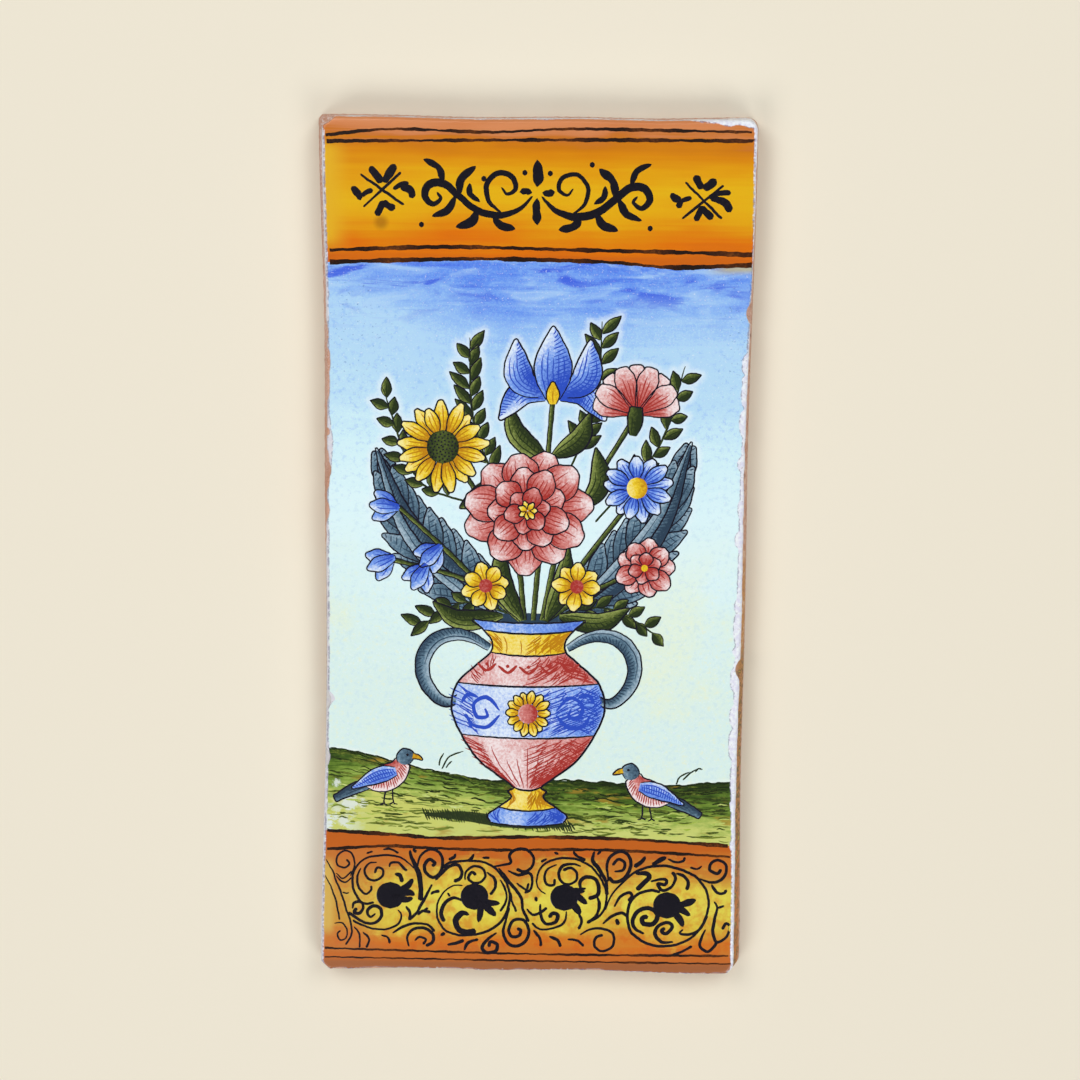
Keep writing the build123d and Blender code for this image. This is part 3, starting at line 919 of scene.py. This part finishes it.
for line in (
    "-43.3,-99.4 -42.6,-96 -41.0,-93.1",
    "-41.9,-100.8 -38.6,-95.0 -31.7,-92.1",
    "-40.0,-100.3 -38.8,-98.4 -37.2,-96.9",
    "67.3,-107.0 69.1,-103.2 73.7,-100.7",
    "70.5,-104.6 74.0,-101.2 77.9,-98.8",
    "76.2,-100.8 77.6,-99.2 79.6,-99.6",
):
    grass.stroke(places(line), 0.75, (0.9, 0.3), 0.95)
grass.finish("field_dark_strokes", dark_green)
light_grass.finish("field_pale_strokes", pale_green)

# Painted picture
# A footed urn of flowers with a bird on each side, painted in five washes and an ink.
# Each form has its wash, then ribs and hatching in a darker tone, then an outline in ink.
# Forms of one group lie a layer apart, and later groups cover earlier ones.
picture_coats = [Coat(0.02) for _ in range(6)]
rose, cobalt, slate, yellow, olive, ink = picture_coats
LAYER = 0.012
HATCH = 0.004
OUTLINE = 0.008


def brush_at(lift):
    """Says how far above the glaze the next group of forms is laid, in millimetres."""
    for coat in picture_coats:
        coat.lift = lift


def on_form(points, widths, shares, sides, sag=0.0):
    """Places on a painted form, by the share of the way along it and the side of its middle line."""
    grid, share = ribbon(points, widths, (0, 1), 1.0)
    shares, sides = np.broadcast_arrays(np.asarray(shares, float), np.asarray(sides, float))
    middle, edge = (
        np.stack([np.interp(shares, share, grid[:, k, axis]) for axis in (0, 1)], -1) for k in (0, 1)
    )
    ahead = np.array(points[-1]) - np.array(points[0])
    fall = (sag * (1 - sides**2))[:, None] * ahead / np.linalg.norm(ahead)
    return middle + (edge - middle) * sides[:, None] - fall


def form(coat, points, widths, tone, ribs=(), hatch=(), line=0.75, sag=0.0, over=0.0):
    """One painted form: its wash, ribs along it, hatching over part of its sides, and its outline."""
    coat.lay(points, widths, tone, max(4, round(max(widths) / 1.7)), 1.0, sag=sag, over=over)
    for side in ribs:
        rib = on_form(points, widths, np.linspace(0.04, coat.chance.uniform(0.55, 0.88), 6), side, sag)
        coat.stroke(rib, 0.6, tone=1.1, over=over + HATCH)
    for count, first_side, last_side, slant in hatch:
        for share in np.linspace(0.03 + max(-slant, 0), 0.97 - max(slant, 0), count):
            stretch = np.linspace(first_side + coat.chance.uniform(-0.15, 0.15), last_side, 4)
            line_on = on_form(points, widths, np.linspace(share, share + slant, 4), stretch, sag)
            coat.stroke(line_on, 0.55, (0.3, 0.7), 1.15, over=over + HATCH)
    if line:
        up = on_form(points, widths, np.linspace(0, 1, 9), 1.0, sag)
        down = on_form(points, widths, np.linspace(1, 0, 9), -1.0, sag)
        ink.stroke(np.vstack([up, down]), line, (0.6, 0.6), over=over + OUTLINE)


def round_the(centre, angle, *reaches):
    """Places on a ray from a centre, at an angle in degrees."""
    way = np.array([math.cos(math.radians(angle)), math.sin(math.radians(angle))])
    return [tuple(np.array(centre) + way * reach) for reach in reaches]


def shade(tone, along=0.0, across=0.0):
    """A tone that changes along a form, and from one side of it to the other."""
    return lambda side, share: tone + along * share + across * side


def rounded(tone):
    """The tone of a round body, which deepens towards its right and at its left edge."""
    return lambda side, share: tone + 0.26 * np.maximum(0.3 - side, 0) + 0.4 * np.maximum(side - 0.6, 0)


def blossom(coat, centre, count, inner, outer, width, turn=0.0, deep=0.95, ribs=(-0.5, 0.0, 0.5)):
    """A ring of petals, dark at the heart and pale at the rim, with every other one over its neighbours."""
    widths = np.array((0.35, 0.8, 1.0, 0.85, 0.28)) * width

    def petal_tone(side, share):
        return deep - 0.9 * share + 0.3 * side**2

    for number in range(count):
        angle = turn + 360 * number / count + coat.chance.uniform(-5, 5)
        reach = outer * coat.chance.uniform(0.92, 1.08)
        points = round_the(centre, angle, inner, (inner + reach) / 2, reach)
        over = LAYER * (2 if number == count - 1 else number % 2)
        form(coat, points, widths, petal_tone, ribs, line=0.7, over=over)


def spray(points, count, length, width, lean=38):
    """A thin twig with leaves on both sides."""
    olive.stroke(points, 1.0, (1.0, 0.4), 0.9)
    path = smooth_path(points, 0.5)
    ahead = path[-1] - path[0]
    heading = math.degrees(math.atan2(ahead[1], ahead[0]))
    widths = (0.6, width, width * 0.9, 0.3)
    for number in range(count):
        spot = path[int((0.15 + 0.82 * number / count) * (len(path) - 1))]
        angle = heading + (lean if number % 2 else -lean) * olive.chance.uniform(0.8, 1.25)
        reach = length * olive.chance.uniform(0.8, 1.15)
        leaf = round_the(spot, angle, 0.5, reach / 2, reach)
        over = LAYER * (number % 2)
        form(olive, leaf, widths, shade(0.75, across=-0.5), (0.0,), line=0.55, over=over)


# Two long leaves that sweep out from the mouth of the urn, with short blades on both sides of a broad rib
brush_at(0.02)
for points in (
    ((-8, -30), (-34, -12), (-58, 14), (-72, 48)),
    ((8, -30), (34, -14), (58, 16), (71, 52)),
):
    widths = (6, 19, 25, 22, 13, 3)
    hatch = [(9, 0.5, -0.6, 0.06)]
    for number, share in enumerate(np.linspace(0.14, 0.9, 10)):
        over = LAYER * (number % 3)
        for side in (-1, 1):
            root = on_form(points, widths, [share - 0.1], [0.15 * side])[0]
            tip = on_form(points, widths, [min(share + 0.1, 1)], [1.25 * side])[0]
            blade = [root, (root + tip) / 2, tip]
            form(slate, blade, (5, 8.5, 8, 1.5), shade(0.95, -0.7), (-0.4, 0.3), hatch, over=over)
    rib_widths = np.array(widths) * 0.5
    hatch = [(60, 0.2, -0.95, 0.03)]
    form(slate, points, rib_widths, shade(0.6, across=-0.45), (-0.5, 0.5), hatch, over=3 * LAYER)
    ink.stroke(points, 0.9, (0.9, 0.3), over=4 * LAYER)

# Laurel, the dark mouth of the urn, stems and broad leaves
brush_at(0.075)
for points, count, length in (
    (((-16, 30), (-28, 62), (-30, 100)), 17, 11),
    (((16, 40), (28, 70), (30, 108)), 17, 11),
    (((-30, 24), (-54, 36), (-70, 78)), 15, 10),
    (((28, 16), (56, 50), (68, 88)), 15, 10),
    (((-8, -28), (-32, -22), (-56, -36)), 11, 10),
    (((8, -28), (34, -24), (60, -38)), 11, 10),
):
    spray(points, count, length, 4.4)
brush_at(0.098)
slate.disc((-2, -29.8), 51, 6.4, 1.0)
brush_at(0.105)
for number, points in enumerate((
    ((-4, -30), (-10, 4), (-38, 46)),
    ((0, -30), (4, 20), (8, 72)),
    ((4, -30), (14, 10), (44, 62)),
    ((5, -30), (22, -4), (46, 28)),
    ((6, -30), (24, -18), (48, -6)),
    ((-6, -30), (-30, -12), (-66, -2)),
    ((-16, -22), (-40, 2), (-62, 22)),
)):
    over = LAYER * (number % 2)
    form(olive, points, (2.2, 2.2, 2.0, 1.8), shade(0.6, across=-0.4), line=0.55, over=over)
brush_at(0.13)
for number, points in enumerate((
    ((-5, -30), (-14, -14), (-16, 6)),
    ((6, -30), (13, -14), (16, 4)),
    ((-14, -28), (-34, -30), (-46, -22)),
    ((12, -28), (30, -31), (44, -24)),
    ((6, 44), (-8, 56), (-12, 70)),
    ((8, 46), (20, 54), (25, 66)),
    ((22, 22), (30, 34), (28, 50)),
    ((-18, 38), (-22, 30), (-34, 22)),
)):
    over = LAYER * (number % 2)
    ribs = (-0.5, 0.0, 0.5)
    hatch = [(14, 0.0, -0.9, 0.08)]
    form(olive, points, (2, 8, 9.5, 7, 1), shade(0.6, across=-0.45), ribs, hatch, over=over)

# Flowers, from the back of the bunch to the front
brush_at(0.155)
sunflower = (-42, 50)
blossom(yellow, sunflower, 17, 6.5, 20, 6.4, 4, ribs=(-0.3, 0.3))
olive.disc(sunflower, 15.5, 15.5, lambda side, share: 0.6 + 0.4 * side**2, over=3 * LAYER)
for number in range(60):
    seed = round_the(sunflower, 137.5 * number, 0.92 * math.sqrt(number))[0]
    ink.disc(seed, 0.9, 0.9, 0.8, over=4 * LAYER)
daisy = (47, 32)
blossom(cobalt, daisy, 13, 4.5, 15.5, 6.8, 9, 0.85)
yellow.disc(daisy, 10, 10, shade(0.6, across=-0.35), over=3 * LAYER)
ink.stroke([round_the(daisy, angle, 5.1)[0] for angle in range(0, 361, 45)], 0.7, over=4 * LAYER)
for number, (points, widths) in enumerate((
    (((5, 74), (-6, 75), (-16, 63)), (5, 10, 11, 8, 1.5)),
    (((11, 74), (22, 75), (32, 63)), (5, 10, 11, 8, 1.5)),
    (((3, 75), (-7, 82), (-9, 99)), (5, 11, 13, 9, 1.5)),
    (((13, 75), (23, 82), (25, 99)), (5, 11, 13, 9, 1.5)),
    (((8, 72), (8, 88), (8, 105)), (6, 15, 17, 11, 1.5)),
)):
    ribs = (-0.6, -0.3, 0.0, 0.3, 0.6)
    hatch = [(18, 0.0, -0.9, 0.07)]
    form(cobalt, points, widths, shade(0.95, -0.8, -0.25), ribs, hatch, over=LAYER * number)
form(yellow, ((8, 70), (8, 74), (8, 80)), (3, 6, 5, 1.5), 0.6, (0.0,), over=5 * LAYER)
brush_at(0.23)
carnation = (46, 66)
for number, angle in enumerate(range(14, 180, 19)):
    petal = round_the(carnation, angle, 2, 10, 19 + 3 * math.sin(math.radians(angle)))
    over = LAYER * (number % 2)
    ribs = (-0.6, -0.2, 0.2, 0.6)
    form(rose, petal, (2.5, 5.5, 8.5, 9.5, 5), shade(0.95, -0.8), ribs, line=0.65, over=over)
calyx = ((44.6, 56), (45.4, 61), (46, 69))
form(olive, calyx, (3, 6, 7, 5), shade(0.8, across=-0.35), (-0.4, 0.4), over=2 * LAYER)
small_rose = (51, -5)
brush_at(0.155)
blossom(rose, small_rose, 9, 3, 13.5, 9.5, 0)
brush_at(0.191)
blossom(rose, small_rose, 6, 1, 7.5, 6.5, 20, 1.1, (0.0,))
yellow.disc(small_rose, 3.2, 3.2, 0.6, over=3 * LAYER)
for centre, turn in (((-66, -2), 205), ((-50, -6), 240), ((-64, 22), 175), ((-44, 3), 225)):
    for number, lean in enumerate((-34, 34, 0)):
        bell = round_the(centre, turn + lean, -2, 5, 11.5)
        tone = shade(0.85, -0.55, -0.25)
        form(cobalt, bell, (3, 6, 7, 1.6), tone, (-0.3, 0.3), line=0.65, over=LAYER * number)
for centre, turn in (((-22, -14), 15), ((20, -14), 40)):
    blossom(yellow, centre, 8, 2.5, 11, 7, turn, 0.9, (0.0,))
    rose.disc(centre, 6.5, 6.5, 0.9, over=3 * LAYER)
for lift, coat, count, inner, outer, width, turn, deep, ribs in (
    (0.155, rose, 11, 9, 28, 17, 6, 1.0, (-0.75, -0.5, -0.25, 0.0, 0.25, 0.5, 0.75)),
    (0.191, rose, 9, 5, 19, 13, 22, 1.05, (-0.6, -0.3, 0.0, 0.3, 0.6)),
    (0.227, rose, 6, 1, 10.5, 9, 12, 1.15, (-0.4, 0.0, 0.4)),
    (0.263, yellow, 7, 0.3, 4.6, 2.8, 5, 0.9, ()),
):
    brush_at(lift)
    blossom(coat, (-3, 21), count, inner, outer, width, turn, deep, ribs)

# Urn: handles, foot, bowl with gadroons, belly with a rosette, shoulder, neck and rim.
# Its profile is given as pairs of a level and half the width there
URN_X = -2
URN_SAG = 1.8
URN_EDGE = 0.010
urn_profile = places("-126,17 -122.5,18.5 -119,14 -114,7.5 -111,9 -109,6.5 -104,13 -96,23 -84,31 -72,35.5")
urn_profile += places("-60,33 -51,24 -45,17.5 -40,17 -35,20.5 -30,26.5")
urn_curve = smooth_path(urn_profile, 0.6)
brush_at(0.155)
for side in (-1, 1):
    bow = places("18,-43 30,-37 42,-39 49,-49 47,-61 38,-69 30,-66")
    handle = [(side * x + URN_X, y) for x, y in bow]
    hatch = [(40, 0.0, -0.9, 0.02)]
    form(slate, handle, (3, 5, 6.5, 7, 6, 5, 3), shade(0.5, across=-0.4), (0.35,), hatch)
brush_at(0.18)
for coat, low, high, base, ribs in (
    (cobalt, -126, -118.6, 0.40, ()),
    (yellow, -118.6, -108.8, 0.30, ()),
    (rose, -108.8, -84.0, 0.20, (-0.8, -0.6, -0.4, -0.2, 0.0, 0.2, 0.4, 0.6, 0.8)),
    (cobalt, -84.0, -59.5, 0.20, ()),
    (rose, -59.5, -45.0, 0.22, ()),
    (yellow, -45.0, -34.6, 0.30, (-0.6, -0.2, 0.2, 0.6)),
    (cobalt, -34.6, -29.6, 0.40, ()),
):
    spine = [(URN_X, low), (URN_X, (low + high) / 2), (URN_X, high)]
    widths = 2 * np.interp(np.linspace(low, high, 7), *urn_curve.T)
    rows = round((high - low) / 1.25)
    slant = 4.0 / (high - low)
    hatch = []
    if slant < 0.6:
        hatch += [(rows, near, near - 0.26, slant) for near in (-0.05, -0.27, -0.49, -0.71)]
        hatch += [(rows, -0.62, -0.94, -slant), (rows, 0.95, 0.72, -slant)]
    form(coat, spine, widths, rounded(base), ribs, hatch, line=0, sag=URN_SAG)
    for share in (0.0, 1.0):
        level_line = on_form(spine, widths, share, np.linspace(-1, 1, 11), URN_SAG)
        ink.stroke(level_line, 0.9, (0.6, 0.6), over=OUTLINE)
for side in (-1, 1):
    edge = [(side * half + URN_X, level) for level, half in urn_profile]
    ink.stroke(edge, 1.0, (0.8, 0.8), over=URN_EDGE)
    for line in (
        "13,-73 19,-67 25,-70 24,-76 19,-76 20,-72",
        "13,-75 19,-81 26,-80 29,-75",
        "23,-67 28,-66 31,-70",
    ):
        curl = [(side * x + URN_X, y + 0.03 * x) for x, y in places(line)]
        cobalt.stroke(curl, 1.9, (0.4, 0.5), 1.35, over=LAYER)
for number in range(-2, 3):
    x = 9.6 * number + URN_X
    dip = 0.35 * number**2
    swag = [(x - 4.4, -51.6 + dip), (x, -55.0 + dip), (x + 4.4, -51.6 + dip)]
    rose.stroke(swag, 1.4, (0.6, 0.6), 1.3, over=LAYER)
    rose.disc((x, -52.0 + dip), 1.8, 1.8, 1.2, over=LAYER)
brush_at(0.195)
rosette = (URN_X, -74)
blossom(yellow, rosette, 14, 4.5, 10.5, 4.2, 0, 0.9, (0.0,))
rose.disc(rosette, 9.4, 9.4, shade(0.7, across=-0.3), over=3 * LAYER)


def perch(text, side, foot):
    """Places on a bird that faces one side, measured from its feet."""
    return [(foot[0] + 0.82 * side * x, foot[1] + 0.82 * y) for x, y in places(text)]


# Birds on the grass, each turned towards the urn
brush_at(0.06)
for side, foot in ((1, (-69, -114)), (-1, (56, -120))):
    tail = perch("-8,7 -17,4 -28,-2", side, foot)
    form(slate, tail, (4.5, 5.5, 4.5, 3), shade(0.85, across=-0.3 * side), (-0.4, 0.0, 0.4))
    body = perch("-11,8 -2,9 7,14 11,20", side, foot)
    down = [(20, -0.8 * side, 0.1, 0.06)]
    form(rose, body, (4, 10, 12.5, 11, 6.5), shade(0.4, across=0.35 * side), (), down, over=LAYER)
    head = perch("12,23", side, foot)[0]
    slate.disc(head, 8.4, 7.8, shade(0.6, across=-0.2), over=2 * LAYER)
    head_line = perch("8,19 7.4,24 11,27.8 16,26.4 17,22.4 14.6,18.6", side, foot)
    ink.stroke(head_line, 0.7, over=2 * LAYER + OUTLINE)
    beak = perch("16.4,23.6 19,23 22,21.4", side, foot)
    form(yellow, beak, (2.6, 2.2, 0.6), 0.8, over=3 * LAYER)
    eye = perch("13.4,24.2", side, foot)[0]
    ink.disc(eye, 1.4, 1.4, over=3 * LAYER)
    wing = perch("7,14.5 -4,11.6 -18,4.4", side, foot)
    ribs = (-0.5, 0.0, 0.5)
    quills = [(18, 0.6, -0.6, 0.05)]
    form(cobalt, wing, (4, 7.5, 7, 4.2, 1.2), shade(0.5, across=0.2 * side), ribs, quills, over=3 * LAYER)
    for line in ("1,3 0,-4 2,-5.6", "0,-4 -2.4,-5.4", "5,4 5.4,-3.6 8,-4.8", "5.4,-3.6 3,-5"):
        ink.stroke(perch(line, side, foot), 0.8, (0.9, 0.6))

# Shadow of the urn on the grass, a dark wash under slanted strokes
brush_at(0.05)
olive.lay(places("-49,-122.6 -30,-123.4 -8,-126.4 18,-127.4"), (1.5, 4.6, 5.4, 4.0, 1.0), 0.85, 3, 1.0)
for x in np.arange(-51, 18, 1.15):
    middle = np.interp(x, (-49, -30, -8, 18), (-122.4, -123.4, -126.4, -127.4))
    reach = olive.chance.uniform(2.0, 3.6)
    slanted = [(x, middle + reach), (x + 1.2, middle), (x + 2.6, middle - reach)]
    olive.stroke(slanted, 0.8, tone=1.2, over=HATCH)

for coat, piece, paint, pale, mid, dark in (
    (rose, "picture_rose", "rose_wash", (247, 230, 230), (214, 130, 124), (172, 54, 48)),
    (cobalt, "picture_cobalt", "cobalt_wash", (228, 240, 254), (124, 164, 240), (46, 80, 196)),
    (slate, "picture_slate", "slate_wash", (170, 192, 206), (98, 128, 148), (46, 66, 86)),
    (yellow, "picture_yellow", "yellow_wash", (252, 238, 156), (242, 208, 44), (194, 132, 18)),
    (olive, "picture_olive", "olive_wash", (152, 164, 88), (82, 96, 42), (40, 52, 26)),
    (ink, "picture_ink", "ink_line", (84, 62, 56), (44, 38, 52), (22, 20, 34)),
):
    coat.finish(piece, pigment(paint, tint(*pale), tint(*mid), tint(*dark)))

# The sky was washed round the picture, so a pale margin is left next to it
painted_spots = np.vstack([spots for coat in picture_coats for spots in coat.spots])[::6]
painted_finder = KDTree(len(painted_spots))
for index, spot in enumerate(painted_spots):
    painted_finder.insert((spot[0], spot[1], 0), index)
painted_finder.balance()
for index in np.flatnonzero((shaped[:, 2] > FACE - 1) & (np.abs(shaped[:, 1]) < 140)):
    edges[index, 2] = min(FAR, painted_finder.find((shaped[index, 0], shaped[index, 1], 0))[2])
slab_mesh.attributes["edges"].data.foreach_set("vector", edges.astype(np.float32).ravel())

# Studio floor, lamps and camera
# The tile lies face up on a plain pale floor under four soft lamps.
# The camera looks down on it from a little towards its top edge.
FLOOR_REACH = 40
floor_colour = tint(239, 231, 212)
floor_mesh = bpy.data.meshes.new("floor")
corners = [(FLOOR_REACH * x, FLOOR_REACH * y, 0) for x, y in ((-1, -1), (1, -1), (1, 1), (-1, 1))]
floor_mesh.from_pydata(corners, [], [(0, 1, 2, 3)])
floor = bpy.data.objects.new("floor", floor_mesh)
bpy.context.scene.collection.objects.link(floor)
floor_material, shader, start = fired_material("pale_floor")
shader.inputs["Base Color"].default_value = floor_colour
shader.inputs["Roughness"].default_value = 0.9
shader.inputs["Specular IOR Level"].default_value = 0.1

# Beyond the reach of the lamps the floor shows its own colour, and sheds no light on the tile
camera_ray, glossy_ray, glass_ray = (
    start.node("ShaderNodeLightPath", output=f"Is {kind} Ray")
    for kind in ("Camera", "Glossy", "Transmission")
)
spot = start.node("ShaderNodeTexCoord", output="Object")
away = start.node("ShaderNodeVectorMath", {"operation": "LENGTH"}, {0: spot}, "Value")
beyond = (camera_ray + glossy_ray + glass_ray) * away.rise(0.5, 1.1)
far_floor = start.node("ShaderNodeEmission", {}, {"Color": floor_colour})
near_floor = Wire(start.tree, shader.outputs["BSDF"])
whole_floor = start.node("ShaderNodeMixShader", {}, {0: beyond, 1: near_floor, 2: far_floor})
whole_floor.into(start.tree.nodes["Material Output"].inputs["Surface"])
floor_mesh.materials.append(floor_material)

for name, spot, power in (
    ("lamp_north_west", (-0.75, 0.85, 1.5), 12.6),
    ("lamp_north_east", (0.75, 0.85, 1.5), 11.4),
    ("lamp_south_west", (-0.9, -1.2, 1.5), 14.4),
    ("lamp_south_east", (0.9, -1.2, 1.5), 13.0),
):
    lamp_data = bpy.data.lights.new(name, "AREA")
    lamp_data.energy = power
    lamp_data.size = 1.0
    lamp = bpy.data.objects.new(name, lamp_data)
    lamp.location = spot
    lamp.rotation_euler = (-Vector(spot)).to_track_quat("-Z", "Y").to_euler()
    bpy.context.scene.collection.objects.link(lamp)

world = bpy.data.worlds.new("soft_room")
world.use_nodes = True
world.node_tree.nodes["Background"].inputs["Color"].default_value = (0.9, 0.95, 1.0, 1.0)
world.node_tree.nodes["Background"].inputs["Strength"].default_value = 0.08
bpy.context.scene.world = world

camera_data = bpy.data.cameras.new("camera")
camera_data.lens = 71.0
camera_data.sensor_width = 36.0
camera_data.clip_end = 100
camera = bpy.data.objects.new("camera", camera_data)
camera.location = (0.0141, 0.1408, 0.9852)
camera.rotation_euler = (-0.1365, 0.013, 0.0097)
bpy.context.scene.collection.objects.link(camera)
bpy.context.scene.camera = camera
bpy.context.scene.view_settings.view_transform = "Standard"
